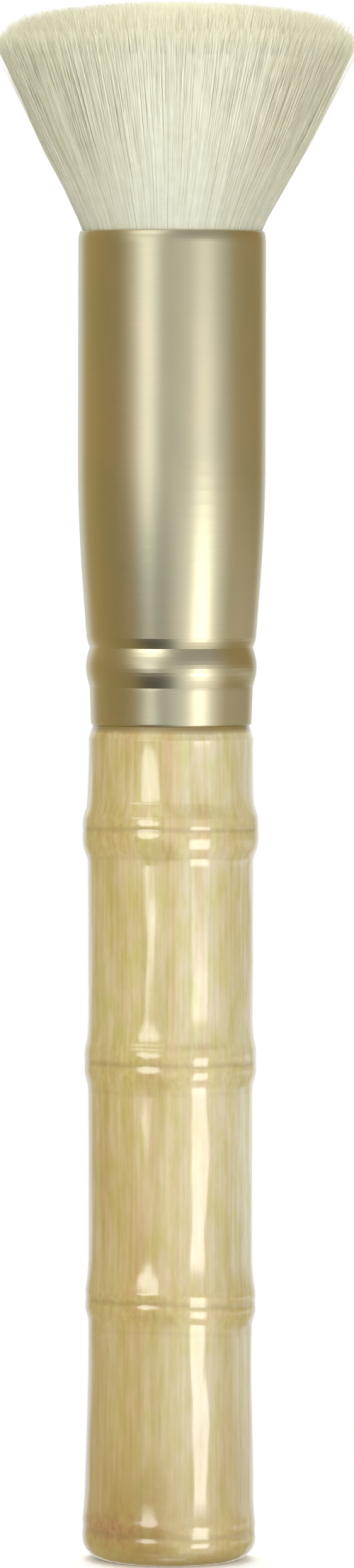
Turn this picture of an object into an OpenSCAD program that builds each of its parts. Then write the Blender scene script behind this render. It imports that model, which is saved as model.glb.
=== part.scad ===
// Flat-topped kabuki brush: goat hair in a drawn aluminium ferrule on a whole bamboo cane.
// Millimetres. The brush stands on the middle of its butt, with +Z towards the hair.

/* [Bamboo handle] */
// Length of the cane that shows, from the butt to the ferrule's lower edge
handle_len = 87.5; // [84:0.5:110]
// Radius of the cane between its nodes
cane_r = 8.53; // [8.4:0.01:8.9]
// Height of the lowest node above the butt
node_1_z = 28.1; // [26:0.1:30]
// Height of the middle node above the butt
node_2_z = 52.5; // [48:0.1:56]
// Height of the top node above the butt
node_3_z = 76.4; // [72:0.1:77.5]
// How far the lowest node swells past the cane
node_1_swell = 0.28; // [0.1:0.01:0.6]
// How far the middle node swells past the cane
node_2_swell = 0.34; // [0.1:0.01:0.6]
// How far the top node swells past the cane
node_3_swell = 0.5; // [0.1:0.01:0.7]
// Length of the swelling above a node's groove
node_up = 3.8; // [2:0.1:4.5]
// Length of the swelling below a node's groove
node_down = 3.2; // [2.8:0.1:4]
// Height of the two thin rings on each node
ring_h = 0.15; // [0.05:0.01:0.3]
// Distance from a node's groove to the middle of each ring
ring_off = 0.78; // [0.6:0.01:1]
// Depth of the groove between the two rings
groove_d = 0.14; // [0.05:0.01:0.3]
// Depth of the sheath scar below the rings
scar_d = 0.1; // [0.04:0.01:0.2]
// Distance from a node's groove down to its sheath scar
scar_off = 2.3; // [2:0.05:2.6]
// Height of the groove of the last node, at the butt
butt_node_z = 4; // [3.8:0.1:6]
// How far the cane swells towards the butt
butt_swell = 0.26; // [0.1:0.01:0.6]
// Height at which that last swelling starts
butt_swell_z = 20.5; // [12:0.5:22]
// Height of the fullest part of that swelling
butt_full_z = 5.5; // [2.5:0.1:7]
// Radius of the flat that the brush stands on
butt_flat_r = 6; // [5:0.1:7.6]
// Height of the rounded edge round that flat
butt_round = 2.2; // [1:0.1:2.3]

/* [Tenon] */
// Length of the turned tenon inside the ferrule
tenon_len = 20; // [14:0.5:22]
// Gap that the glue fills round the tenon, at the ferrule's collar
glue_gap = 0.1; // [0.05:0.01:0.2]
// Number of glue grooves turned into the tenon
tenon_grooves = 3; // [1:1:4]
// Width of each glue groove
tenon_groove_w = 1.2; // [0.8:0.1:2]
// Depth of each glue groove
tenon_groove_d = 0.5; // [0.2:0.05:0.8]
// Chamfer on the tenon's end
tenon_chamfer = 0.8; // [0.3:0.1:1.5]
// Height of the bevel from the cane down to the ferrule's edge
neck_bevel = 1.6; // [0.5:0.1:2]

/* [Ferrule] */
// Length of the ferrule
ferrule_len = 51.5; // [48:0.5:60]
// Outer radius of the ferrule's straight body
ferrule_r = 9.8; // [9.6:0.01:10.2]
// Wall of the drawn aluminium tube
wall = 0.45; // [0.35:0.01:0.6]
// Length of the straight body, measured from the mouth
body_len = 24; // [22:0.5:30]
// Outer radius of the collar at its lower edge
collar_r = 8.4; // [8.3:0.01:8.6]
// How far the collar opens towards the bead
collar_flare = 0.12; // [0:0.01:0.2]
// Height of the collar below the bead
collar_h = 4; // [3:0.1:6]
// Outer radius over the crimped bead
bead_r = 8.93; // [8.8:0.01:9.1]
// Height of the crimped bead
bead_h = 4.1; // [2.5:0.1:4.5]
// Outer radius at the creases on both sides of the bead
crease_r = 8.52; // [8.4:0.01:8.65]
// Outer radius where the waist leaves the upper crease
waist_r = 8.88; // [8.8:0.01:9.1]
// Height over which the crease opens into the waist
waist_h = 1.4; // [1:0.1:2]
// How far the mouth curls in
mouth_curl = 0.12; // [0:0.01:0.3]
// Height over which the mouth curls in
curl_h = 1; // [0.5:0.1:2]

/* [Hair] */
// Length of hair from the mouth to the top of the dome
hair_out = 23.7; // [18:0.1:30]
// Radius over the tips at the widest part of the head
head_r = 18.5; // [15:0.1:20]
// Rise of the domed top from its shoulder to the middle
dome_h = 2; // [0.5:0.1:4]
// Drop of the tips over the rounded shoulder
shoulder_drop = 2.2; // [1:0.1:4]
// Height above the mouth at which the flare turns straight
bend_h = 6; // [4:0.1:8]
// Radius over the hair at that bend
bend_r = 12.3; // [11.5:0.05:13.5]
// Number of strands
strands = 340; // [300:1:400]
// Sides of each strand
strand_sides = 3; // [3:1:4]
// Share of the room between its neighbours that each strand fills
strand_fill = 0.95; // [0.6:0.01:0.98]
// Length of each tapering tip
tip_len = 2.2; // [1.5:0.1:5]

/* [Glued knot] */
// Thickness of the resin plug between the tenon and the hair
plug_h = 7.5; // [6:0.5:10]
// Height of the solid slice of glued hair roots
knot_h = 12; // [9:0.5:14]
// Gap between the knot and the ferrule's wall
knot_gap = 0.05; // [0.02:0.01:0.1]
// Height of the thread winding round the knot
thread_h = 3; // [2:0.1:5]
// Thickness of the thread winding
thread_t = 0.45; // [0.3:0.05:0.8]
// Height of the thread winding above the foot of the knot
thread_z = 2.5; // [1.5:0.1:4]

/* [Hidden] */
$fn = 96;
curve_steps = 8;
overrun = 1;
strand_sink = 0.6;

// Strands stand on a golden-angle spiral, whose nearest neighbours are spiral_gap apart
// on a spiral of radius 1 with one strand, and closer by the root of the number of strands.
golden_angle = 180 * (3 - sqrt(5));
spiral_gap = 1.54;
strand_share = strand_fill * spiral_gap / 2 / sqrt(strands);

ferrule_z = handle_len;
mouth_z = ferrule_z + ferrule_len;
bead_z = ferrule_z + collar_h;
waist_z = bead_z + bead_h + waist_h;
body_z = mouth_z - body_len;
edge_r = wall / 2;
inner_r = ferrule_r - wall;
lip_r = ferrule_r - mouth_curl;
tenon_r = collar_r - wall - glue_gap;
tenon_z = ferrule_z + tenon_len;
knot_z = tenon_z + plug_h;
knot_r = inner_r - knot_gap;
mouth_hair_r = knot_r - mouth_curl;
root_z = knot_z + knot_h;
bend_z = mouth_z + bend_h;
top_z = mouth_z + hair_out;

function smooth(t) = t * t * (3 - 2 * t);
function bump(d, half) = abs(d) < half ? (1 + cos(180 * d / half)) / 2 : 0;
function swelling(d, half) = abs(d) < half ? pow(1 - pow(d / half, 2), 1.3) : 0;
function span(from, to, steps) = [for (i = [0:steps]) from + (to - from) * i / steps];

// The cane swells at each node, with a groove between two thin rings and a scar below them.
node_zs = [node_1_z, node_2_z, node_3_z];
node_swells = [node_1_swell, node_2_swell, node_3_swell];
ring_half = 0.7;
groove_half = 0.35;
scar_half = 0.3;

function node_relief(d, swell) =
    swell * swelling(d, d > 0 ? node_up : node_down)
    + ring_h * (bump(d - ring_off, ring_half) + bump(d + ring_off, ring_half))
    - groove_d * bump(d, groove_half)
    - scar_d * bump(d + scar_off, scar_half);

function butt_relief(z) =
    z > butt_swell_z ? 0
    : z < butt_full_z ? butt_swell
    : butt_swell * smooth((butt_swell_z - z) / (butt_swell_z - butt_full_z));

function cane_radius(z) = cane_r + butt_relief(z)
    + node_relief(z - butt_node_z, 0)
    + node_relief(z - node_zs[0], node_swells[0])
    + node_relief(z - node_zs[1], node_swells[1])
    + node_relief(z - node_zs[2], node_swells[2]);

// Heights at which one node's outline has its points, closest together where it is carved.
function ring_heights(at) = span(at - ring_off - ring_half, at + ring_off + ring_half, 16);
function node_heights(at) = [
    at - node_down,
    for (z = span(at - scar_off - scar_half, at - scar_off + scar_half, 4)) z,
    each ring_heights(at),
    for (z = span(at + ring_off + 1.1, at + node_up, 4)) z
];

cane_heights = [
    each ring_heights(butt_node_z),
    for (z = span(butt_node_z + ring_off + 1.1, butt_swell_z, 10)) z,
    for (at = node_zs) each node_heights(at)
];

module cane_profile() {
    butt_r = cane_radius(butt_round);
    neck_r = collar_r - edge_r;
    polygon(concat(
        [[0, 0]],
        [for (a = span(0, 90, curve_steps))
            [butt_flat_r + (butt_r - butt_flat_r) * sin(a), butt_round * (1 - cos(a))]],
        [for (z = cane_heights) if (z > butt_round) [cane_radius(z), z]],
        [[cane_r, ferrule_z - neck_bevel], [neck_r, ferrule_z], [0, ferrule_z]]
    ));
}

module tenon_profile() {
    pitch = tenon_len / (tenon_grooves + 1);
    difference() {
        polygon([
            [0, ferrule_z - overrun], [tenon_r, ferrule_z - overrun],
            [tenon_r, tenon_z - tenon_chamfer], [tenon_r - tenon_chamfer, tenon_z], [0, tenon_z]
        ]);
        for (i = [1:tenon_grooves])
            translate([tenon_r - tenon_groove_d, ferrule_z + i * pitch - tenon_groove_w / 2])
                square([tenon_groove_d + overrun, tenon_groove_w]);
    }
}

module bamboo_handle() {
    color("#cdb478")
        rotate_extrude() {
            cane_profile();
            tenon_profile();
        }
}

// The ferrule's outer outline from its lower edge to its mouth, as radius and height.
ferrule_outline = concat(
    [[collar_r, ferrule_z + edge_r], [collar_r + collar_flare, bead_z - edge_r]],
    [for (t = span(0, 1, 10)) [crease_r + (bead_r - crease_r) * sin(180 * t), bead_z + bead_h * t]],
    [for (t = span(0, 1, 4)) if (t > 0)
        [crease_r + (waist_r - crease_r) * sin(90 * t), bead_z + bead_h + waist_h * t]],
    [for (t = span(0, 1, 12)) if (t > 0)
        [waist_r + (ferrule_r - waist_r) * sin(90 * t), waist_z + (body_z - waist_z) * t]],
    [for (t = span(0, 1, 4))
        [ferrule_r - mouth_curl * t * t, mouth_z - edge_r - curl_h * (1 - t)]]
);

ferrule_bore = [for (p = ferrule_outline) [p[0] - wall, p[1]]];

module ferrule() {
    color("#c9c09a")
        rotate_extrude()
            polygon(concat(
                [for (a = span(180, 360, curve_steps)) if (a < 360)
                    [collar_r - edge_r + edge_r * cos(a), ferrule_z + edge_r + edge_r * sin(a)]],
                ferrule_outline,
                [for (a = span(0, 180, curve_steps)) if (a > 0 && a < 180)
                    [lip_r - edge_r + edge_r * cos(a), mouth_z - edge_r + edge_r * sin(a)]],
                [for (i = [1:len(ferrule_bore)]) if (i < len(ferrule_bore)) ferrule_bore[len(ferrule_bore) - i]]
            ));
}

// Everything inside the ferrule's wall between two heights.
module bore_slice(from, to) {
    intersection() {
        polygon(concat([[0, ferrule_z]], [[ferrule_bore[0][0], ferrule_z]], ferrule_bore, [[0, mouth_z]]));
        translate([0, from])
            square([ferrule_r, to - from]);
    }
}

module tenon_glue() {
    color("#b8a878")
        rotate_extrude()
            difference() {
                bore_slice(ferrule_z + edge_r, tenon_z);
                tenon_profile();
            }
}

module resin_plug() {
    color("#d9d2b0")
        rotate_extrude()
            bore_slice(tenon_z, knot_z);
}

module knot() {
    rotate_extrude()
        difference() {
            intersection() {
                translate([-knot_gap, 0])
                    bore_slice(knot_z, root_z);
                square([knot_r, root_z]);
            }
            translate([knot_r - thread_t, knot_z + thread_z])
                square([thread_t + overrun, thread_h]);
        }
}

module binding_thread() {
    color("#e6e2d4")
        rotate_extrude()
            translate([knot_r - thread_t, knot_z + thread_z])
                square([thread_t, thread_h]);
}

// Height of the tips at a share of the head's radius: a shallow dome with a rounded shoulder.
function tip_z(share) = top_z - dome_h * pow(share, 2) - shoulder_drop * pow(share, 12);

// One ring of a strand's corners at the bundle's radius there, with one corner facing outwards.
function strand_ring(share, angle, bundle_r, z) =
    let (at = share * bundle_r / (1 + strand_share), r = strand_share * bundle_r / (1 + strand_share))
    [for (i = [0:strand_sides - 1])
        let (corner = angle + 360 * i / strand_sides)
        [at * cos(angle) + r * cos(corner), at * sin(angle) + r * sin(corner), z]];

// Strands keep their order from root to tip: each stays at its share of the bundle's radius.
module strand(i) {
    share = sqrt((i + 0.5) / strands);
    angle = i * golden_angle;
    end_z = tip_z(share);
    full_z = end_z - tip_len;
    full_r = bend_r + (head_r - bend_r) * (full_z - bend_z) / (end_z - bend_z);
    rings = [
        strand_ring(share, angle, knot_r, root_z - strand_sink),
        strand_ring(share, angle, mouth_hair_r, mouth_z - edge_r),
        strand_ring(share, angle, bend_r, bend_z),
        strand_ring(share, angle, full_r, full_z)
    ];
    n = strand_sides;
    last = len(rings) * n;
    polyhedron(
        points = concat(
            [for (ring = rings) each ring],
            [[share * head_r * cos(angle), share * head_r * sin(angle), end_z]]
        ),
        faces = concat(
            [[for (k = [0:n - 1]) k]],
            [for (j = [0:len(rings) - 2], k = [0:n - 1])
                each [[j * n + k, (j + 1) * n + k, j * n + (k + 1) % n],
                      [j * n + (k + 1) % n, (j + 1) * n + k, (j + 1) * n + (k + 1) % n]]],
            [for (k = [0:n - 1]) [last - n + k, last, last - n + (k + 1) % n]]
        )
    );
}

module hair_bundle() {
    color("#e8e2c6")
        union() {
            knot();
            for (i = [0:strands - 1])
                strand(i);
        }
}

bamboo_handle();
ferrule();
hair_bundle();
resin_plug();
binding_thread();
tenon_glue();
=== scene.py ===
import math

import bpy
import numpy as np
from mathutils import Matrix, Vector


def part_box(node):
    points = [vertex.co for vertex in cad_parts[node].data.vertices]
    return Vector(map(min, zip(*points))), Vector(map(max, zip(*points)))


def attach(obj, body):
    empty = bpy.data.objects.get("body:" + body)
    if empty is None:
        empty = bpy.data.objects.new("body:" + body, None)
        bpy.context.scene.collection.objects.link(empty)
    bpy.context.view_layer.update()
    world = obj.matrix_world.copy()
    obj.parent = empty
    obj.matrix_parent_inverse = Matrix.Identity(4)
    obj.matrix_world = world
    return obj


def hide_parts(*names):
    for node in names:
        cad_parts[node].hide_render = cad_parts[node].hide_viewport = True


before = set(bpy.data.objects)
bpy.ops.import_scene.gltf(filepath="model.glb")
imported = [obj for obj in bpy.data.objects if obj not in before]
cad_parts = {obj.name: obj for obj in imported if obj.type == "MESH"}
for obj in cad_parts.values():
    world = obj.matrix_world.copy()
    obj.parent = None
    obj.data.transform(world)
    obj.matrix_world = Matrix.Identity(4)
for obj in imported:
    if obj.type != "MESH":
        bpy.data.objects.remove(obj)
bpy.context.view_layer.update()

MM = 0.001
FULL_TURN = 2 * np.pi
WHITE = (1, 1, 1, 1)

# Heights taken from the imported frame, in metres
FERRULE_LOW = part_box("ferrule")[0].z
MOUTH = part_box("ferrule")[1].z
TENON_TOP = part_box("bamboo_handle")[1].z


# Curves of numbers


def ramp(value, low, high):
    """0 below low, 1 above high and smooth between them."""
    t = np.clip((value - low) / (high - low), 0, 1)
    return t * t * (3 - 2 * t)


def window(value, opens, closes):
    """Rises from 0 to 1 over the first pair of values and falls again over the second."""
    return ramp(value, *opens) * (1 - ramp(value, *closes))


def bell(value, middle, width):
    """1 at the middle, falling off alike on both sides."""
    return np.exp(-(((value - middle) / width) ** 2))


def bump(d, half):
    """1 at the distance 0, 0 from the distance half on and smooth between them."""
    return np.where(np.abs(d) < half, (1 + np.cos(np.pi * d / half)) / 2, 0)


# Meshes


def grid_faces(rows, columns):
    """Quads between rings of points, each ring closed on itself."""
    ring = np.arange(columns)
    after = (ring + 1) % columns
    start = np.arange(rows - 1)[:, None] * columns
    return np.stack(
        [start + ring, start + after, start + columns + after, start + columns + ring], -1
    ).reshape(-1, 4)


def make_mesh(name, points, *face_sets, smooth=True):
    """A mesh from points and one or more arrays of faces, each array with one count of corners."""
    sizes = np.concatenate([np.full(len(faces), faces.shape[1]) for faces in face_sets])
    corners = np.concatenate([faces.ravel() for faces in face_sets])
    mesh = bpy.data.meshes.new(name)
    mesh.vertices.add(len(points))
    mesh.vertices.foreach_set("co", points.ravel().astype(np.float32))
    mesh.loops.add(len(corners))
    mesh.loops.foreach_set("vertex_index", corners.astype(np.int32))
    mesh.polygons.add(len(sizes))
    mesh.polygons.foreach_set("loop_start", (np.cumsum(sizes) - sizes).astype(np.int32))
    mesh.polygons.foreach_set("use_smooth", np.full(len(sizes), smooth))
    mesh.update(calc_edges=True)
    mesh.validate()
    piece = bpy.data.objects.new(name, mesh)
    bpy.context.scene.collection.objects.link(piece)
    return piece


def make_stack(name, points):
    """A mesh from an array of rings of points, the lowest first, closed at both ends."""
    rings, columns = points.shape[:2]
    bottom = np.arange(columns)[::-1][None]
    top = ((rings - 1) * columns + np.arange(columns))[None]
    return make_mesh(name, points.reshape(-1, 3), grid_faces(rings, columns), bottom, top)


def paint(piece, name, *values):
    """Stores three values per point under one name, for the piece's material to read."""
    layer = piece.data.color_attributes.new(name, "FLOAT_COLOR", "POINT")
    channels = [np.ravel(value) for value in values]
    rgba = np.stack([*channels, np.ones_like(channels[0])], -1)
    layer.data.foreach_set("color", rgba.ravel().astype(np.float32))


# Shader nodes

# The range in which most of a noise's values lie
NOISE_RANGE = (0.35, 0.65)
NOISE_ROUGHNESS = 0.6


class Tree:
    """The shader nodes of a material or of the world."""

    def __init__(self, owner):
        owner.use_nodes = True
        self.owner = owner
        self.nodes, self.links = owner.node_tree.nodes, owner.node_tree.links

    def feed(self, node, inputs):
        """Sets each input to its value, or links it where the value is another node's output."""
        for key, value in inputs.items():
            if isinstance(value, bpy.types.NodeSocket):
                self.links.new(value, node.inputs[key])
            else:
                node.inputs[key].default_value = value

    def add(self, kind, inputs=None, **settings):
        node = self.nodes.new(kind)
        for key, value in settings.items():
            setattr(node, key, value)
        self.feed(node, inputs or {})
        return node

    def shade(self, inputs):
        """Feeds the material's Principled shader."""
        self.feed(self.nodes["Principled BSDF"], inputs)

    def surface(self, shader):
        """Shows another shader in place of the Principled one."""
        self.nodes.remove(self.nodes["Principled BSDF"])
        self.feed(self.nodes["Material Output"], {"Surface": shader.outputs[0]})

    def place(self):
        return self.add("ShaderNodeTexCoord").outputs["Object"]

    def noise(self, size, detail, scale=(1, 1, 1), shift=0):
        spot = self.add(
            "ShaderNodeMapping",
            {"Vector": self.place(), "Scale": scale, "Location": (shift, 0, 0)},
        )
        noise = self.add("ShaderNodeTexNoise", {
            "Vector": spot.outputs["Vector"],
            "Scale": size,
            "Detail": detail,
            "Roughness": NOISE_ROUGHNESS,
        })
        return noise.outputs["Fac"]

    def level(self, source, low, high, to_low=0, to_high=1, **settings):
        """The source's values from low to high, spread over another range."""
        inputs = {"Value": source, "From Min": low, "From Max": high}
        inputs.update({"To Min": to_low, "To Max": to_high})
        return self.add("ShaderNodeMapRange", inputs, **settings).outputs["Result"]

    def mix(self, factor, a, b, kind="MIX"):
        inputs = {"Factor": factor, "A": a, "B": b}
        node = self.add("ShaderNodeMix", inputs, data_type="RGBA", blend_type=kind)
        return node.outputs["Result"]

    def relief(self, height, strength, distance):
        inputs = {"Height": height, "Strength": strength, "Distance": distance}
        return self.add("ShaderNodeBump", inputs).outputs["Normal"]

    def painted_colour(self, name):
        return self.add("ShaderNodeVertexColor", layer_name=name).outputs["Color"]

    def painted(self, name):
        """The three values that paint() stored under the name."""
        parts = self.add("ShaderNodeSeparateColor", {"Color": self.painted_colour(name)})
        return [parts.outputs[channel] for channel in ("Red", "Green", "Blue")]


def new_material(name):
    return Tree(bpy.data.materials.new(name))


# Camera: it stands a little above the middle of the brush and looks slightly down

CAMERA_DISTANCE = 0.932
CAMERA_HEIGHT = 0.1173
AIM_HEIGHT = 0.0813
# The brush's axis is a little left of the picture's middle
AXIS_OFFSET = 0.00055
# How much height the picture shows at the brush
PICTURE_HEIGHT = 0.1638
CAMERA_ROLL = -0.12
SENSOR = 36
CLIP = (0.01, 100)


def make_camera():
    data = bpy.data.cameras.new("camera")
    data.sensor_fit = "AUTO"
    data.sensor_width = SENSOR
    data.lens = SENSOR * CAMERA_DISTANCE / PICTURE_HEIGHT
    data.clip_start, data.clip_end = CLIP
    camera = bpy.data.objects.new("camera", data)
    bpy.context.scene.collection.objects.link(camera)
    camera.location = (AXIS_OFFSET, -CAMERA_DISTANCE, CAMERA_HEIGHT)
    pitch = math.atan2(CAMERA_HEIGHT - AIM_HEIGHT, CAMERA_DISTANCE)
    camera.rotation_euler = (math.pi / 2 - pitch, math.radians(CAMERA_ROLL), 0)
    bpy.context.scene.camera = camera


# Floor: grey for the light on the brush and white for the camera, with the shadow close by

FLOOR_HALF = 20
FLOOR_GREY = (0.8, 0.8, 0.8, 1)
FLOOR_SEEN = (1.3, 1.3, 1.3, 1)
# Distances from the axis over which the floor and its shadow fade to plain white
FLOOR_FADE = (12 * MM, 90 * MM)


def make_floor():
    corners = np.array([[-1, -1, 0], [1, -1, 0], [1, 1, 0], [-1, 1, 0]]) * FLOOR_HALF
    floor = make_mesh("floor", corners, np.array([[0, 1, 2, 3]]), smooth=False)
    tree = new_material("floor")
    seen = tree.add("ShaderNodeLightPath").outputs["Is Camera Ray"]
    plain = tree.add("ShaderNodeBsdfDiffuse", {"Color": tree.mix(seen, FLOOR_GREY, FLOOR_SEEN)})
    distance = tree.add("ShaderNodeVectorMath", {0: tree.place()}, operation="LENGTH")
    fade = tree.level(distance.outputs["Value"], *FLOOR_FADE, interpolation_type="SMOOTHSTEP")
    far = tree.add("ShaderNodeMath", {0: fade, 1: seen}, operation="MULTIPLY")
    white = tree.add("ShaderNodeEmission", {"Color": WHITE, "Strength": 1})
    tree.surface(tree.add(
        "ShaderNodeMixShader", {0: far.outputs[0], 1: plain.outputs[0], 2: white.outputs[0]}
    ))
    floor.data.materials.append(tree.owner)
    floor.visible_glossy = False


# World and lamps

# Strength of the world as light, while the camera and reflections see it at 1
AMBIENT = 0.48
# Name, place, width and power of each lamp
LAMPS = (
    ("key", (0.2, -1.3, 0.2), 0.6, 11.0),
    ("fill", (-0.7, -1.1, 0.25), 0.8, 3.5),
    ("top", (0.0, 0.3, 1.2), 0.8, 6.0),
    ("side", (1.3, -0.4, 0.1), 0.5, 1.5),
    ("back", (-0.3, 1.3, 0.35), 0.9, 6.0),
)


def make_world():
    world = bpy.data.worlds.new("world")
    bpy.context.scene.world = world
    tree = Tree(world)
    path = tree.add("ShaderNodeLightPath")
    seen = path.outputs["Is Camera Ray"]
    for ray in ("Is Glossy Ray", "Is Transmission Ray"):
        inputs = {0: seen, 1: path.outputs[ray]}
        seen = tree.add("ShaderNodeMath", inputs, operation="MAXIMUM").outputs[0]
    strength = tree.level(seen, 0, 1, AMBIENT, 1)
    tree.feed(tree.nodes["Background"], {"Color": WHITE, "Strength": strength})


def make_lamp(name, place, width, power):
    data = bpy.data.lights.new(name, "AREA")
    data.shape = "SQUARE"
    data.size = width
    data.energy = power
    lamp = bpy.data.objects.new(name, data)
    bpy.context.scene.collection.objects.link(lamp)
    lamp.location = place
    x, y, z = place
    lamp.rotation_euler = (math.atan2(math.hypot(x, y), z - AIM_HEIGHT), 0, math.atan2(x, -y))
    lamp.visible_camera = False
    lamp.visible_glossy = False


# Surround: a wall round the brush that only its gloss sees. Azimuths are in degrees, with 0 on
# the camera's side and positive ones on its right, and heights are in metres. Of two pairs, the
# first says where something fades in and the second where it fades out.

SURROUND_R = 1.2
SURROUND_COLUMNS = 240
SURROUND_ROWS = np.concatenate([
    [-6], np.linspace(-1.6, -0.2, 40), np.linspace(-0.19, 0.2, 79), np.linspace(0.22, 1.6, 40), [6]
])
# The walls in front fade into dark flags at the sides, and the back is white
FRONT_WALLS = ((-54, -40), (57, 88))
ALL_BUT_BACK = ((-147, -133), (140, 154))
BACK_FOOT = (-0.7, -0.3)
FLAG = (0.37, 0.28, 0.13)
FLAG_LEVELS = ((-128, -105, -75, 0, 75, 110, 135), (1.5, 1.25, 1.0, 1.0, 1.1, 1.1, 1.1))
# Brightness of the left and the right wall at heights
LEFT_LEVELS = (
    (-1.6, -1.1, -0.5, -0.25, -0.1, 0, 0.1, 0.2, 0.35, 0.5),
    (0.4, 0.02, 0.03, 0.08, 0.17, 0.25, 0.44, 0.56, 0.6, 0.6),
)
RIGHT_LEVELS = (
    (-1.6, -1.1, -0.5, -0.2, -0.05, 0.05, 0.15, 0.25, 0.35, 1.0),
    (0.6, 1.1, 1.2, 1.05, 1.0, 0.88, 0.82, 0.6, 0.42, 0.42),
)
WALL_TINT = (1, 0.98, 0.93)
# The left wall turns into the right one between these azimuths, which lie further right low down
WALL_LEFT, WALL_RIGHT = -30, 8
WALL_SHIFT, WALL_RIGHT_SHARE = ((-0.4, 0), (24, 0)), 0.6
# Boxes of light: brightness, azimuths and heights
HIGH_BOX = (6.5, ((-66, -54), (-20, -8)), ((0.84, 0.98), (1.4, 1.6)))
MIDDLE_BOX = (1.6, ((-64, -48), (-26, -10)), ((0.19, 0.29), (0.35, 0.45)))
RIGHT_BOX = (1.0, ((28.2, 31.8), (49.2, 52.8)), ((-0.50, -0.36), (0.12, 0.25)))
# The right box is dim above these heights and much brighter below them
RIGHT_BOX_STEP, RIGHT_BOX_DIM, RIGHT_BOX_EXTRA = (-0.06, 0.03), 0.35, 2.9
# A white card low on the right, which lightens that edge of the cane
CARD = (0.75, ((75, 93), (133, 151)), ((-0.26, -0.12), (-0.06, 0.03)))
CARD_COLOUR = (0.95, 0.93, 0.92)
# The left window: light, azimuth, the heights where its foot fades in, half its width at the
# foot, how much wider it gets and at what heights, and the foot and height of its round top
LEFT_WINDOW, LEFT_AZIMUTH, LEFT_FOOT = 2.9, -29.5, (-0.05, 0.0)
LEFT_HALF, LEFT_WIDER, LEFT_WIDENS = 4.5, 8.5, (0.0, 0.11)
LEFT_ARCH, LEFT_ARCH_H = 0.12, 0.05
LEFT_SOFT_IN, LEFT_SOFT_OUT = 2, 1.5


def box_light(box, azimuth, height):
    light, azimuths, heights = box
    return light * window(azimuth, *azimuths) * window(height, *heights)


def left_window(azimuth, height):
    half = LEFT_HALF + LEFT_WIDER * ramp(height, *LEFT_WIDENS)
    half = half * np.sqrt(1 - np.clip((height - LEFT_ARCH) / LEFT_ARCH_H, 0, 1) ** 2)
    off = np.abs(azimuth - LEFT_AZIMUTH)
    inside = 1 - ramp(off, half - LEFT_SOFT_IN, half + LEFT_SOFT_OUT)
    return LEFT_WINDOW * ramp(height, *LEFT_FOOT) * inside


def surround_glow(azimuth, height):
    """The colour that gloss on the brush mirrors from each azimuth and height."""
    shift = np.interp(height, *WALL_SHIFT)
    right = ramp(azimuth, WALL_LEFT + shift, WALL_RIGHT + WALL_RIGHT_SHARE * shift)
    left_level, right_level = np.interp(height, *LEFT_LEVELS), np.interp(height, *RIGHT_LEVELS)
    wall = (left_level + (right_level - left_level) * right)[..., None] * np.array(WALL_TINT)
    flag = np.interp(azimuth, *FLAG_LEVELS)[..., None] * np.array(FLAG)
    glow = flag + (wall - flag) * window(azimuth, *FRONT_WALLS)[..., None]
    behind = (1 - window(azimuth, *ALL_BUT_BACK)) * ramp(height, *BACK_FOOT)
    glow = glow + (1 - glow) * behind[..., None]
    glow = glow + (np.array(CARD_COLOUR) - glow) * box_light(CARD, azimuth, height)[..., None]
    right_level = RIGHT_BOX_DIM + RIGHT_BOX_EXTRA * (1 - ramp(height, *RIGHT_BOX_STEP))
    light = left_window(azimuth, height) + right_level * box_light(RIGHT_BOX, azimuth, height)
    for box in (HIGH_BOX, MIDDLE_BOX):
        light = light + box_light(box, azimuth, height)
    return glow + light[..., None]


def make_surround():
    azimuth = np.arange(SURROUND_COLUMNS) * 360 / SURROUND_COLUMNS - 180
    azimuths, heights = np.meshgrid(azimuth, SURROUND_ROWS)
    angle = np.radians(azimuths)
    points = np.stack([SURROUND_R * np.sin(angle), -SURROUND_R * np.cos(angle), heights], -1)
    faces = grid_faces(len(SURROUND_ROWS), SURROUND_COLUMNS)
    surround = make_mesh("surround", points.reshape(-1, 3), faces)
    paint(surround, "glow", *np.moveaxis(surround_glow(azimuths, heights), -1, 0))
    tree = new_material("surround")
    glow = {"Color": tree.painted_colour("glow"), "Strength": 1}
    tree.surface(tree.add("ShaderNodeEmission", glow))
    surround.data.materials.append(tree.owner)
    surround.visible_camera = False
    surround.visible_diffuse = False
    surround.visible_shadow = False
    surround.visible_transmission = False


# Ferrule

CHAMPAGNE, WARM_CHAMPAGNE = (0.575, 0.57, 0.415, 1), (0.635, 0.585, 0.425, 1)
BRUSHED_LINE = (0.93, 0.92, 0.90, 1)


def make_ferrule_material():
    tree = new_material("satin_champagne")
    brushed = tree.noise(size=6000, detail=2, scale=(0.05, 0.05, 1))
    cloudy = tree.noise(size=160, detail=2, scale=(1, 1, 0.5))
    colour = tree.mix(tree.level(cloudy, *NOISE_RANGE), CHAMPAGNE, WARM_CHAMPAGNE)
    tree.shade({
        "Base Color": tree.mix(brushed, colour, BRUSHED_LINE, "MULTIPLY"),
        "Normal": tree.relief(brushed, strength=0.12, distance=0.02 * MM),
        "Metallic": 1,
        "Roughness": 0.33,
    })
    return tree.owner


# Bamboo cane

CANE_R = 8.57 * MM
CANE_COLUMNS = 200
CANE_SEED = 7
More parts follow.
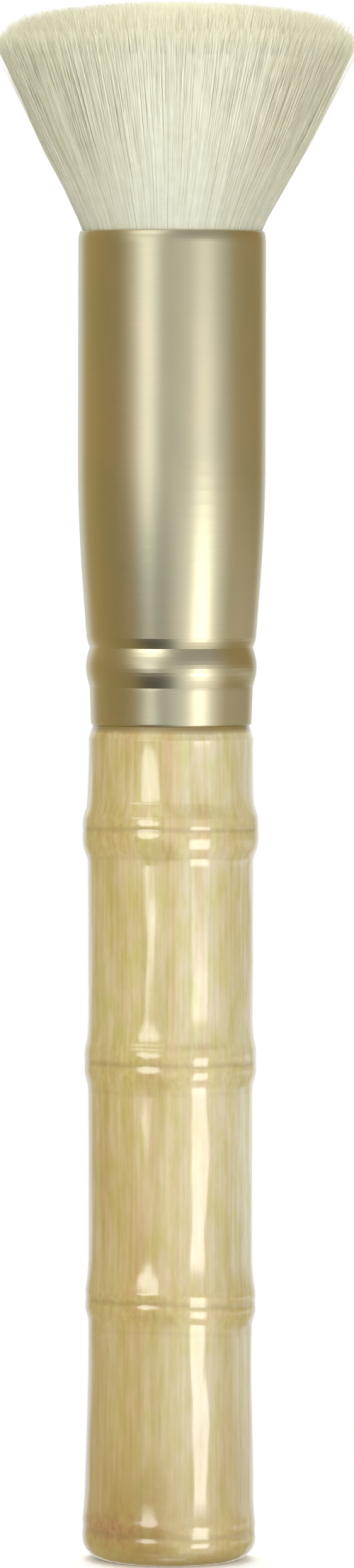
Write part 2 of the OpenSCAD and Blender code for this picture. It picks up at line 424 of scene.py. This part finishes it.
# Each node from the foot up: the height of its groove in mm, its slant to the right in mm and
# how much more it stands out at the sides. Then pairs of a distance above the groove in mm and
# the slope of the skin there, from the top down; where it is positive, the cane is wider below.
CANE_NODES = (
    (3.05, 0.2, 0.1, (
        (4.35, 0), (3.35, 0.045), (2.6, 0.06), (2.0, 0.075), (1.45, 0.11), (1.15, 0.07),
        (0.85, 0), (0.45, -0.07), (0, 0), (-0.15, 0.07), (-0.45, 0.1), (-0.7, 0.02),
        (-0.85, -0.01), (-3, 0),
    )),
    (27.2, 0.2, 0.7, (
        (4.8, 0), (4.4, 0.015), (3.2, 0.045), (2.1, 0.075), (1.3, 0.09), (1.05, 0.085),
        (0.85, 0), (0.5, -0.07), (0, 0), (-0.25, 0.075), (-0.5, 0.06), (-0.65, 0),
        (-1.4, -0.17), (-1.8, -0.2), (-2.2, -0.06), (-2.8, 0),
    )),
    (52.15, 0.05, 0.5, (
        (4.95, 0), (4.15, 0.02), (3.05, 0.05), (2.35, 0.085), (1.95, 0.2), (1.55, 0.085),
        (1.1, 0.05), (0.75, 0), (0.35, -0.06), (0, 0), (-0.25, 0.06), (-0.6, 0.04),
        (-0.8, 0), (-1.2, -0.1), (-1.8, -0.2), (-2.3, -0.15), (-2.9, -0.02), (-3.5, 0),
    )),
    (76.6, 0.0, 0.05, (
        (8.6, 0.012), (7.2, 0.013), (5.2, 0.022), (3.7, 0.033), (2.85, 0.055), (2.5, 0.2),
        (2.0, 0.29), (1.45, 0.28), (1.05, 0.06), (0.5, 0.03), (0.3, -0.03), (0.15, -0.07),
        (0, 0), (-0.15, 0.06), (-0.7, 0.03), (-0.95, -0.02), (-1.75, -0.15), (-2.2, -0.3),
        (-2.6, -0.42), (-2.9, -0.3), (-3.2, -0.1), (-3.9, 0),
    )),
)
# The nodes wander up and down and stand out unevenly, and are higher on the camera's side
NODE_WANDER = np.array((0.05, 0.06, 0.05, 0.03)) * MM
NODE_UNEVEN = (0.05, 0.05, 0.05, 0.04)
NODE_RISE = 0.25 * MM
# Step between a node's slopes when they are added up, in mm
SLOPE_STEP = 0.02
# Unevenness of the skin: waves round the cane, how fast they turn with height, depth in mm
SKIN_WAVES = (
    (2, 38, 0.045), (3, 95, 0.032), (5, 170, 0.026), (8, 260, 0.019), (13, 420, 0.012),
    (21, 700, 0.006),
)
# The cane swells towards the butt and flares a little under the ferrule
BUTT_SWELL, BUTT_SWELL_FROM, BUTT_FULL = 0.30 * MM, 21 * MM, 6 * MM
BUTT_FLAT_R, BUTT_ROUND, BUTT_RINGS = 6.4 * MM, 2.3 * MM, 10
TOP_FLARE, TOP_FLARE_FROM, TOP_FLARE_LONG = 0.033 * MM, 83.8 * MM, 2.3 * MM
# The bevel under the ferrule, with rings close to both of its edges to keep them crisp
NECK_R, NECK_BEVEL = 8.17 * MM, 1.4 * MM
SHOULDER = FERRULE_LOW - NECK_BEVEL
SHOULDER_EDGE = 0.05 * MM
BEVEL_PARTS = (0.04, 0.2, 0.4, 0.6, 0.8, 0.97, 1)
TENON_R, TENON_FOOT, TENON_BEVEL = 7.85 * MM, 0.05 * MM, 0.8 * MM
# Steps between rings on the plain cane, and in mm at the nodes, with their reach
CANE_STEP, RING_GAP = 0.55 * MM, 0.04 * MM
NODE_STEP, NODE_REACH = 0.08, 3.6

# Colour marks: strength and half height. A scar is the faint line of the sheath below a node,
# and a zone is the darker skin round a node
GROOVE_MARK, GROOVE_HALF = 1.2, 0.51 * MM
SCAR_MARK, SCAR_HALF, SCAR_BELOW = 0.35, 0.4 * MM, 3.0 * MM
ZONE_HALF, ZONE_BELOW = 4.2 * MM, 0.4 * MM
# Painted shadow: a dark line painted on the cane just under the ferrule
NECK_SHADOW, NECK_SHADOW_FADE = 3.6, (FERRULE_LOW - 0.75 * MM, FERRULE_LOW - 0.4 * MM)
# Stains at the butt: azimuth and width in degrees, height and half height
STAIN = (-24, 30, 4.2 * MM, 10 * MM)
RUST = (-46, 24, 3.9 * MM, 2.6 * MM)
# Painted light: the skin is painted paler on the right, where the light falls, and paler still at
# its edge
PAINTED_LIGHT_SIDE, PAINTED_LIGHT_SIDE_AT = 0.6, ((-22, 22), (83, 127))
PAINTED_LIGHT_EDGE, PAINTED_LIGHT_EDGE_AT = 0.4, ((45, 71), (99, 125))
SEAM_AZIMUTH, SEAM_WIDTH = 2.5, 2.6
# The foot of the cane is browner up to this height
FOOT_SHADE = 60 * MM

# Colours of the cane; each pair is mixed by a noise
STRAW = ((0.49, 0.385, 0.145, 1), (0.60, 0.53, 0.26, 1))
FIBRES = ((0.90, 0.86, 0.78, 1), (1.07, 1.09, 1.12, 1))
MOTTLE = ((0.93, 0.95, 0.72, 1), (1.08, 1.04, 1.25, 1))
KNOT = ((0.47, 0.29, 0.075, 1), (0.53, 0.46, 0.15, 1))
OLIVE_STAIN = ((0.37, 0.22, 0.06, 1), (0.38, 0.29, 0.075, 1))
RUST_STAIN = ((0.29, 0.13, 0.05, 1), (0.44, 0.25, 0.10, 1))
PAINTED_LIGHT_GREEN, PAINTED_LIGHT_CREAM = (0.56, 0.51, 0.29, 1), (0.72, 0.70, 0.51, 1)
HONEY, OCHRE = (0.53, 0.405, 0.17, 1), (0.46, 0.29, 0.085, 1)
SEAM_BROWN, FOOT_BROWN = (0.50, 0.33, 0.08, 1), (0.36, 0.25, 0.08, 1)
GROOVE_AND_SHADOW_BROWN = (0.24, 0.17, 0.05, 1)


def waves(rng, angle, strengths):
    """A smooth closed curve round the cane: one wave for each strength, at a random turn."""
    total = 0
    for k, strength in enumerate(strengths):
        total = total + strength * np.sin((k + 1) * angle + rng.uniform(0, FULL_TURN))
    return total


def node_profile(slopes, d):
    """The height of a node's skin at distances from its groove, built up from its slopes."""
    at, slope = np.array(slopes).T[:, ::-1]
    fine = np.arange(at[0], at[-1] + SLOPE_STEP / 2, SLOPE_STEP)
    height = np.cumsum(np.interp(fine, at, slope)[::-1])[::-1] * SLOPE_STEP
    return np.interp(d / MM, fine, height) * MM


def cane_relief(angle, z):
    """How far the cane's skin stands past its plain radius, its groove marks with the painted
    shadow under the ferrule, and its zone marks.
    """
    rng = np.random.default_rng(CANE_SEED)
    relief = BUTT_SWELL * (1 - ramp(z, BUTT_FULL, BUTT_SWELL_FROM))
    relief = relief + TOP_FLARE * np.clip((z - TOP_FLARE_FROM) / TOP_FLARE_LONG, 0, None) ** 3
    # The painted shadow under the ferrule starts the groove marks
    groove_and_neck_shadow, zone = NECK_SHADOW * ramp(z, *NECK_SHADOW_FADE), np.zeros_like(z)
    for k, (at, slant, sides, slopes) in enumerate(CANE_NODES):
        d = z - at * MM - waves(rng, angle, NODE_WANDER)
        d = d - NODE_RISE * np.cos(angle) + slant * MM * np.sin(angle)
        height = 1 + sides * np.sin(angle) ** 2 + waves(rng, angle, NODE_UNEVEN)
        relief = relief + node_profile(slopes, d) * height
        groove_and_neck_shadow = np.maximum(groove_and_neck_shadow, GROOVE_MARK * bump(d, GROOVE_HALF))
        zone = np.maximum(zone, bump(d + ZONE_BELOW, ZONE_HALF))
        if k > 0:
            groove_and_neck_shadow = np.maximum(groove_and_neck_shadow, SCAR_MARK * bump(d + SCAR_BELOW, SCAR_HALF))
    for turns, twist, depth in SKIN_WAVES:
        phase = rng.uniform(0, FULL_TURN, 2)
        wave = np.sin(turns * angle + phase[0] + np.sin(twist * z + phase[1]))
        relief = relief + depth * MM * wave
    return relief, groove_and_neck_shadow, zone


def cane_rows():
    """Heights of the cane's rings of points, closest together where the nodes are carved."""
    rows = [np.arange(BUTT_ROUND, SHOULDER, CANE_STEP)]
    for node in CANE_NODES:
        rows.append(np.arange(node[0] - NODE_REACH, node[0] + NODE_REACH, NODE_STEP) * MM)
    rows = np.unique(np.round(np.concatenate(rows), 6))
    rows = rows[(rows >= BUTT_ROUND) & (rows < SHOULDER - 2 * SHOULDER_EDGE)]
    rows = np.append(rows, (SHOULDER - SHOULDER_EDGE, SHOULDER))
    return rows[np.concatenate([[True], np.diff(rows) > RING_GAP])]


def cane_rings(angle):
    """Radius and height of every ring, from the flat of the butt to the end of the tenon."""
    rings = []
    foot_r = CANE_R + cane_relief(angle, np.full_like(angle, BUTT_ROUND))[0]
    for turn in np.radians(np.linspace(0, 90, BUTT_RINGS)):
        r = BUTT_FLAT_R + (foot_r - BUTT_FLAT_R) * np.sin(turn)
        rings.append((r, np.full_like(angle, BUTT_ROUND * (1 - np.cos(turn)))))
    for z in cane_rows()[1:]:
        height = np.full_like(angle, z)
        rings.append((CANE_R + cane_relief(angle, height)[0], height))
    shoulder_r, shoulder_z = rings[-1]
    for part in BEVEL_PARTS:
        r = shoulder_r + (NECK_R - shoulder_r) * part
        rings.append((r, shoulder_z + (FERRULE_LOW - shoulder_z) * part))
    for r, z in (
        (TENON_R, FERRULE_LOW + TENON_FOOT),
        (TENON_R, TENON_TOP - TENON_BEVEL),
        (TENON_R - TENON_BEVEL, TENON_TOP),
    ):
        rings.append((np.full_like(angle, r), np.full_like(angle, z)))
    return np.array(rings).transpose(1, 0, 2)


def blot(degrees, z, azimuth, width, height, half):
    return bell(degrees, azimuth, width) * bump(z - height, half)


def make_cane():
    angle = np.arange(CANE_COLUMNS) * FULL_TURN / CANE_COLUMNS
    r, z = cane_rings(angle)
    turns = np.broadcast_to(angle, r.shape)
    cane = make_stack("bamboo_cane", np.stack([r * np.sin(turns), -r * np.cos(turns), z], -1))
    _, groove_and_neck_shadow, zone = cane_relief(turns, z)
    degrees = np.degrees((turns + np.pi) % FULL_TURN - np.pi)
    paint(cane, "marks", groove_and_neck_shadow, blot(degrees, z, *STAIN), zone)
    # Painted light: the right side of the skin is painted paler, and paler still at its edge
    painted_light = PAINTED_LIGHT_SIDE * window(degrees, *PAINTED_LIGHT_SIDE_AT) + PAINTED_LIGHT_EDGE * window(degrees, *PAINTED_LIGHT_EDGE_AT)
    seam = bell(degrees, SEAM_AZIMUTH, SEAM_WIDTH)
    paint(cane, "tone", painted_light, seam, 1 - ramp(z, 0, FOOT_SHADE))
    paint(cane, "rust", *[blot(degrees, z, *RUST)] * 3)
    cane.data.materials.append(make_bamboo_material())
    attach(cane, "root")
    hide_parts("bamboo_handle")


def make_bamboo_material():
    tree = new_material("lacquered_bamboo")

    def grain(size, stretch, shift, detail=3):
        return tree.noise(size, detail, (1, 1, stretch), shift)

    groove_and_neck_shadow, stain, zone = tree.painted("marks")
    painted_light, seam, foot = tree.painted("tone")
    rust = tree.painted("rust")[0]
    fine = grain(size=2600, stretch=0.03, shift=0.3)
    broad = grain(size=420, stretch=0.10, shift=1.7)
    patch = grain(size=90, stretch=0.35, shift=4.1)
    mottle = grain(size=800, stretch=0.35, shift=7.7)
    speck = grain(size=1500, stretch=0.8, shift=9.1)
    ochre = grain(size=380, stretch=0.05, shift=12.3, detail=2)
    ripple = grain(size=650, stretch=0.14, shift=5.5, detail=1)
    colour = tree.mix(tree.level(broad, *NOISE_RANGE), *STRAW)
    # Each tint comes in over its source's values from low to high
    for source, low, high, tint in (
        # Painted light on the right side of the cane
        (painted_light, 0, 0.6, PAINTED_LIGHT_GREEN),
        (painted_light, 0.6, 1, PAINTED_LIGHT_CREAM),
        (patch, 0.45, 0.8, HONEY),
        (ochre, 0.48, 0.85, OCHRE),
        (seam, 0, 4, SEAM_BROWN),
    ):
        colour = tree.mix(tree.level(source, low, high), colour, tint)
    for source, low, high, tints in ((fine, 0.3, 0.7, FIBRES), (mottle, *NOISE_RANGE, MOTTLE)):
        tint = tree.mix(tree.level(source, low, high), *tints)
        colour = tree.mix(1, colour, tint, "MULTIPLY")
    for source, high, tint in (
        (foot, 3, FOOT_BROWN),
        (zone, 2.2, tree.mix(tree.level(speck, 0.38, 0.62), *KNOT)),
        (stain, 1.05, tree.mix(tree.level(speck, 0.3, 0.7), *OLIVE_STAIN)),
        (rust, 1.3, tree.mix(tree.level(speck, *NOISE_RANGE), *RUST_STAIN)),
        # Groove lines, and the painted shadow under the ferrule
        (groove_and_neck_shadow, 3.6, GROOVE_AND_SHADOW_BROWN),
    ):
        colour = tree.mix(tree.level(source, 0, high), colour, tint)
    tree.shade({
        "Base Color": colour,
        "Normal": tree.relief(fine, strength=0.25, distance=0.1 * MM),
        "Roughness": 0.42,
        "Coat Weight": 1,
        "Coat Roughness": 0.11,
        "Coat IOR": 2,
        "Coat Normal": tree.relief(ripple, strength=0.42, distance=0.1 * MM),
    })
    return tree.owner


# Hair: angles are counted from +X, so that the front is at -90 degrees

HAIR_PIECES, HAIRS_PER_PIECE, HAIR_SIDES = 6, 5000, 3
# The first piece's seed, and each further piece has the next one
HAIR_SEED = 100
HAIR_ROOT = MOUTH - 4 * MM
HAIR_TIP = MOUTH + 23.7 * MM
# The top is a shallow dome with a rounded shoulder
DOME_H, SHOULDER_DROP, SHOULDER_POWER = 2.0 * MM, 2.2 * MM, 12
# Radius over the hair at heights above the mouth
FLARE_H = np.array((-30, -0.3, 1, 2, 3, 4, 6, 8, 10, 12, 14, 16, 18, 20, 24)) * MM
FLARE_R = np.array(
    (9.3, 9.2, 9.72, 10.2, 10.7, 11.2, 12.3, 13.4, 14.3, 15.2, 16.1, 17.0, 17.9, 18.65, 20.2)
) * MM
# The head leans a little towards +X, most of it just above the mouth
LEAN, LEAN_LOW, LEAN_HIGH = 0.45 * MM, 0.6, 0.4
LEAN_LOW_END, LEAN_HIGH_START = MOUTH + 7 * MM, MOUTH + 5 * MM
# A hair's points: one at the root, one below the mouth and these parts of the way to the tip
BELOW_MOUTH = 0.3 * MM
HAIR_STEPS = np.array((0.07, 0.27, 0.5, 0.75, 1.0))
HAIR_R = np.array((0.055, 0.055, 0.055, 0.054, 0.05, 0.04, 0.012)) * MM
HAIR_R_RANGE = (0.8, 1.25)
# The part of the hairs that stand in the outer shell, and where that begins
SHELL_SHARE, SHELL_FROM = 0.4, 0.96
# How much shorter hairs are on average, in mm, and how much longer the longest ones
SHORT_OUTER, SHORT_INNER, LONG = 0.8, 0.3, 0.12 * MM
# Tips are drawn towards the middle of their clump on a loose grid
CLUMP_GRID, CLUMP_TABLE, CLUMP_SEED, CLUMP_SPOT = 1.1 * MM, 64, 5, (0.2, 0.8)
GATHER, GATHER_POWER = 0.18, 1.5
# Some hairs bend further than the rest, in mm, and all of them wave and turn a little
LOOSE_PART, LOOSE_BEND, PLAIN_BEND = 0.14, 0.7, 0.28
WAVE, TURN = 0.12 * MM, 0.2
CORE_COLUMNS, CORE_SIDE_ROWS, CORE_TOP_ROWS = 360, 28, 16
CORE_SHARE, CORE_SINK, CORE_MIDDLE = 0.984, 2.4 * MM, 0.04
FLUTE_DEPTH, FLUTE_FADE = 0.012, (0, 0.3)

# Locks of one colour: seed and numbers of waves round the bundle
FLUTES = (41, (37, 53, 71, 89, 113))
BROAD_LOCKS = (42, (11, 17, 29, 43))
FINE_LOCKS = (43, (61, 83, 97))
STREAK_SPREAD = 2.2
# Painted shade: the hair is painted darker to the left and right of the front and on the far side,
# where less light falls: degrees from the front, width, and the far side
SIDE_SHADE_OFF, SIDE_SHADE_WIDTH, SIDE_SHADE_FAR, SIDE_SHADE_FAR_FROM = 46, 24, 0.3, (50, 80)
# The painted shade is only on outer hairs, and not at their tips
SIDE_SHADE_SHARE, SIDE_SHADE_FROM, SIDE_SHADE_FADE = 0.6, 0.6, (0.5, 0.88)
HAIR_LOCKS, HAIR_RANDOM = 0.2, 0.2
CORE_LOCKS, CORE_BROAD, CORE_FINE = 0.4, 0.6, 0.4

# The hair's colour at the mouth and at the tips: the darker colour at the mouth is painted shade
SHADED_ROOT_COLOUR, TIP_COLOUR = (0.68, 0.68, 0.58, 1), (0.97, 0.96, 0.79, 1)
# The dark lock tint also paints the shade on the sides of the bundle
LOCK_AND_SIDE_SHADE_TINT, DUST = (0.82, 0.80, 0.72, 1), (0.96, 0.95, 0.92, 1)


def flare_radius(z):
    return np.interp(z - MOUTH, FLARE_H, FLARE_R)


def tip_height(share):
    """Height of the tips at a share of the bundle's radius."""
    return HAIR_TIP - DOME_H * share**2 - SHOULDER_DROP * share**SHOULDER_POWER


def rise_at(z):
    """0 up to the mouth and 1 at the tips."""
    return np.clip((z - MOUTH) / (HAIR_TIP - MOUTH), 0, 1)


def lean_at(z):
    low = LEAN_LOW * ramp(z, MOUTH, LEAN_LOW_END)
    return LEAN * (low + LEAN_HIGH * ramp(z, LEAN_HIGH_START, HAIR_TIP))


def streak(angle, seed, turns):
    """A value from 0 to 1 that changes round the bundle."""
    rng = np.random.default_rng(seed)
    total = 0
    for k in turns:
        total = total + np.sin(k * angle + rng.uniform(0, FULL_TURN))
    return np.clip(0.5 + total / (STREAK_SPREAD * math.sqrt(len(turns))), 0, 1)


# Painted shade: how much darker the hair is painted at each angle round the bundle
def painted_side_shade(angle):
    off = np.abs((np.degrees(angle) + 270) % 360 - 180)
    return bell(off, SIDE_SHADE_OFF, SIDE_SHADE_WIDTH) + SIDE_SHADE_FAR * ramp(off, *SIDE_SHADE_FAR_FROM)


def clump_shift(x, y):
    """The way from a hair's tip to the middle of its clump."""
    cell_x, cell_y = np.floor(x / CLUMP_GRID).astype(int), np.floor(y / CLUMP_GRID).astype(int)
    rng = np.random.default_rng(CLUMP_SEED)
    table = rng.uniform(*CLUMP_SPOT, (CLUMP_TABLE, CLUMP_TABLE, 2))
    spot = table[cell_x % CLUMP_TABLE, cell_y % CLUMP_TABLE]
    return (cell_x + spot[:, 0]) * CLUMP_GRID - x, (cell_y + spot[:, 1]) * CLUMP_GRID - y


def finish_hair(hair, shade, rise, material):
    paint(hair, "strand", shade, rise, np.zeros(rise.shape))
    hair.data.materials.append(material)
    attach(hair, "root")
    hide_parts("hair_bundle")


def make_hair_core(material):
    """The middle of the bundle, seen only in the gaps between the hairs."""
    angle = np.arange(CORE_COLUMNS) * FULL_TURN / CORE_COLUMNS
    side_z = np.linspace(HAIR_ROOT, tip_height(CORE_SHARE) - CORE_SINK, CORE_SIDE_ROWS)
    top_share = CORE_SHARE * np.linspace(1, CORE_MIDDLE, CORE_TOP_ROWS)[1:]
    share = np.concatenate([np.full(len(side_z), CORE_SHARE), top_share])[:, None]
    z = np.concatenate([side_z, tip_height(top_share) - CORE_SINK])[:, None]
    flutes = FLUTE_DEPTH * (streak(angle, *FLUTES) - 0.5)
    rise = rise_at(z)
    r = share * flare_radius(z) * (1 + flutes * ramp(rise, *FLUTE_FADE))
    heights = np.broadcast_to(z, r.shape)
    points = np.stack([r * np.cos(angle) + lean_at(z), r * np.sin(angle), heights], -1)
    core = make_stack("hair_core", points)
    locks_and_side_shade = CORE_BROAD * streak(angle, *BROAD_LOCKS) + CORE_FINE * streak(angle, *FINE_LOCKS)
    # Random locks, with the painted shade on the sides of the bundle added
    locks_and_side_shade = CORE_LOCKS * locks_and_side_shade + SIDE_SHADE_SHARE * painted_side_shade(angle)
    finish_hair(core, np.broadcast_to(locks_and_side_shade, r.shape), np.broadcast_to(rise, r.shape), material)


def make_hair_piece(index, material):
    rng = np.random.default_rng(HAIR_SEED + index)
    count = HAIRS_PER_PIECE
    share = np.sqrt(rng.random(count))
    outer = rng.random(count) < SHELL_SHARE
    share = np.where(outer, SHELL_FROM + (1 - SHELL_FROM) * rng.random(count), share)
    angle = rng.random(count) * FULL_TURN
    short = rng.exponential(1, count) * np.where(outer, SHORT_OUTER, SHORT_INNER) * MM - LONG
    tip_z = tip_height(share) - short
    low_z = np.broadcast_to((HAIR_ROOT, MOUTH - BELOW_MOUTH), (count, 2))
    z = np.concatenate([low_z, MOUTH + HAIR_STEPS * (tip_z - MOUTH)[:, None]], 1)
    rise = rise_at(z)
    r = share[:, None] * flare_radius(z)
    x, y = r * np.cos(angle)[:, None], r * np.sin(angle)[:, None]
    pull_x, pull_y = clump_shift(x[:, -1], y[:, -1])
    gather = GATHER * rise**GATHER_POWER
    loose = np.where(rng.random(count) < LOOSE_PART, LOOSE_BEND, PLAIN_BEND) * MM
    bend = rng.normal(0, 1, (2, count, 1)) * loose[:, None] * rise**2
    wave = rng.normal(0, WAVE, (2, count, 1)) * np.sin(np.pi * rise) * rise
    x = x + pull_x[:, None] * gather + bend[0] + wave[0] + lean_at(z)
    y = y + pull_y[:, None] * gather + bend[1] + wave[1]
    # Each hair turns one flat side outwards, where the light on a real bundle comes from
    turn = (angle + np.pi / HAIR_SIDES + rng.normal(0, TURN, count))[:, None, None]
    turn = turn + FULL_TURN * np.arange(HAIR_SIDES) / HAIR_SIDES
    thick = HAIR_R[None, :, None] * rng.uniform(*HAIR_R_RANGE, count)[:, None, None]
    corners = (*z.shape, HAIR_SIDES)
    points = np.stack([
        x[:, :, None] + thick * np.cos(turn),
        y[:, :, None] + thick * np.sin(turn),
        np.broadcast_to(z[:, :, None], corners),
    ], -1)
    per_hair = z.shape[1] * HAIR_SIDES
    base = np.arange(count)[:, None, None] * per_hair
    sides = (base + grid_faces(z.shape[1], HAIR_SIDES)[None]).reshape(-1, 4)
    caps = np.array([[2, 1, 0], [per_hair - 3, per_hair - 2, per_hair - 1]])
    ends = (base + caps[None]).reshape(-1, 3)
    hair = make_mesh(f"hair_{index + 1}", points.reshape(-1, 3), sides, ends, smooth=False)
    locks_and_side_shade = HAIR_LOCKS * streak(angle, *BROAD_LOCKS) + HAIR_RANDOM * rng.random(count)
    # Painted shade on the outer hairs at the sides, added to their random locks
    side_shade = SIDE_SHADE_SHARE * (painted_side_shade(angle) * (share > SIDE_SHADE_FROM))[:, None]
    locks_and_side_shade = locks_and_side_shade[:, None] + side_shade * (1 - ramp(rise, *SIDE_SHADE_FADE))
    shade, along = (np.broadcast_to(values[:, :, None], corners) for values in (locks_and_side_shade, rise))
    finish_hair(hair, shade, along, material)


def make_hair_material():
    tree = new_material("goat_hair")
    lock_and_side_shade, rise, _ = tree.painted("strand")
    colour = tree.mix(rise, SHADED_ROOT_COLOUR, TIP_COLOUR)
    # Darker locks, with the painted shade on the sides of the bundle
    colour = tree.mix(lock_and_side_shade, colour, LOCK_AND_SIDE_SHADE_TINT, "MULTIPLY")
    speck = tree.level(tree.noise(size=900, detail=2), *NOISE_RANGE)
    tree.shade({"Base Color": tree.mix(speck, colour, DUST, "MULTIPLY"), "Roughness": 0.55})
    return tree.owner


# The parts inside the ferrule

INNER_RELIEF, INNER_DETAIL, ROUGHNESS_SPREAD = 0.5, 4, 0.1


def make_inner_material(name, colours, size, roughness, depth, stretch=1, clear=0):
    """Two colours in soft patches, with a relief that follows them."""
    tree = new_material(name)
    grain = tree.noise(size, INNER_DETAIL, (1, 1, stretch))
    rough = (roughness - ROUGHNESS_SPREAD, roughness + ROUGHNESS_SPREAD)
    tree.shade({
        "Base Color": tree.mix(tree.level(grain, *NOISE_RANGE), *colours),
        "Normal": tree.relief(grain, INNER_RELIEF, depth),
        "Roughness": tree.level(grain, 0, 1, *rough),
        "Coat Weight": clear,
    })
    return tree.owner


def dress(node, material):
    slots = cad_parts[node].data.materials
    slots.clear()
    slots.append(material)


make_camera()
bpy.context.scene.view_settings.view_transform = "Standard"
make_floor()
make_world()
for lamp in LAMPS:
    make_lamp(*lamp)
make_surround()

make_cane()
hair_material = make_hair_material()
make_hair_core(hair_material)
for index in range(HAIR_PIECES):
    make_hair_piece(index, hair_material)
dress("ferrule", make_ferrule_material())
dress("resin_plug", make_inner_material(
    "amber_resin", ((0.62, 0.40, 0.13, 1), (0.76, 0.56, 0.25, 1)),
    size=350, roughness=0.25, depth=0.05 * MM, clear=0.6,
))
dress("binding_thread", make_inner_material(
    "waxed_thread", ((0.70, 0.66, 0.54, 1), (0.88, 0.85, 0.74, 1)),
    size=500, roughness=0.6, depth=0.1 * MM, stretch=14,
))
dress("tenon_glue", make_inner_material(
    "set_glue", ((0.50, 0.39, 0.21, 1), (0.66, 0.55, 0.34, 1)),
    size=900, roughness=0.45, depth=0.06 * MM, stretch=0.6,
))
